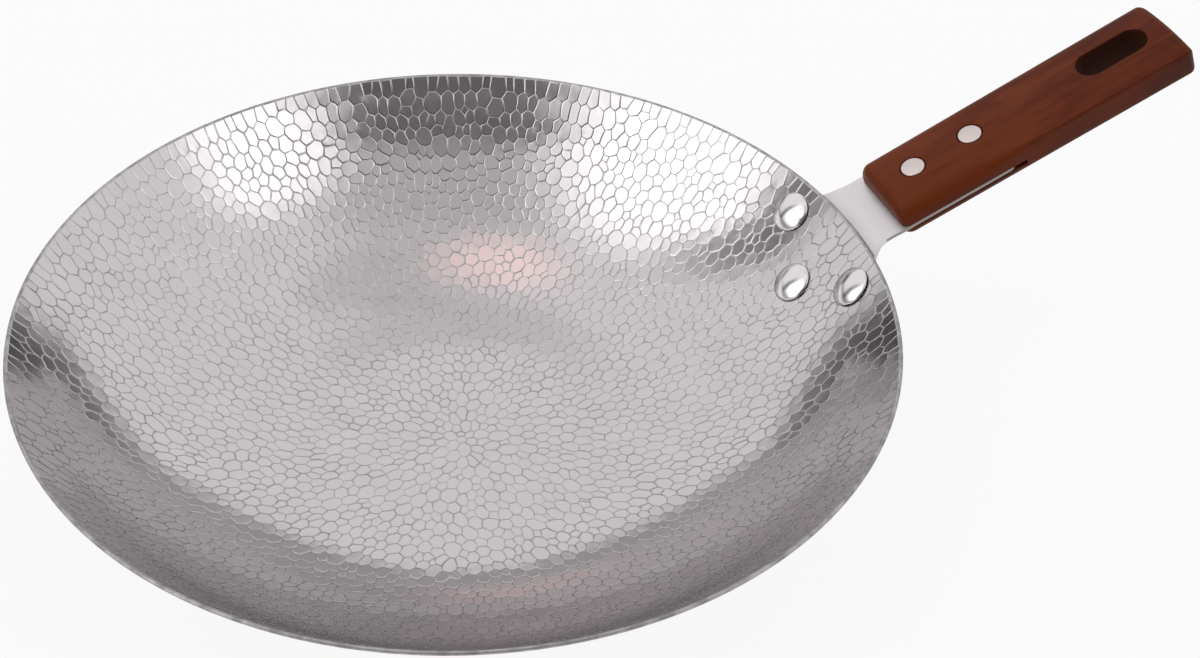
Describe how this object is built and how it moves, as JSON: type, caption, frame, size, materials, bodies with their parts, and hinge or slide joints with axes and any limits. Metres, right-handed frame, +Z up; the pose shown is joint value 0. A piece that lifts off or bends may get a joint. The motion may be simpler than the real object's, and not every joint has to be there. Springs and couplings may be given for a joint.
{
  "type": "wok",
  "caption": "Shallow steel wok with an embossed honeycomb inside, a riveted flat steel bracket and a pinned reddish-brown wooden handle with a hanging slot.",
  "frame": {"origin": "centre of the flat base's underside", "axes": "+X from the bowl's axis along the handle, +Z up out of the bowl"},
  "size_m": [0.4544, 0.3204, 0.1273],
  "materials": {
    "embossed_steel": "bright, embossed inside",
    "bracket_steel": "satin",
    "rivet_steel": "polished",
    "lacquered_wood": "clear lacquer over a red-brown stain",
    "pin_steel": "matt"
  },
  "bodies": {
    "root": {"wok_bowl": "embossed_steel", "handle_bracket": "bracket_steel", "bowl_rivet_left": "rivet_steel", "bowl_rivet_right": "rivet_steel", "bowl_rivet_lower": "rivet_steel", "wood_handle": "lacquered_wood", "handle_pin_front_core": "pin_steel", "handle_pin_front_sleeve": "pin_steel", "handle_pin_rear_core": "pin_steel", "handle_pin_rear_sleeve": "pin_steel"}
  },
  "joints": []
}
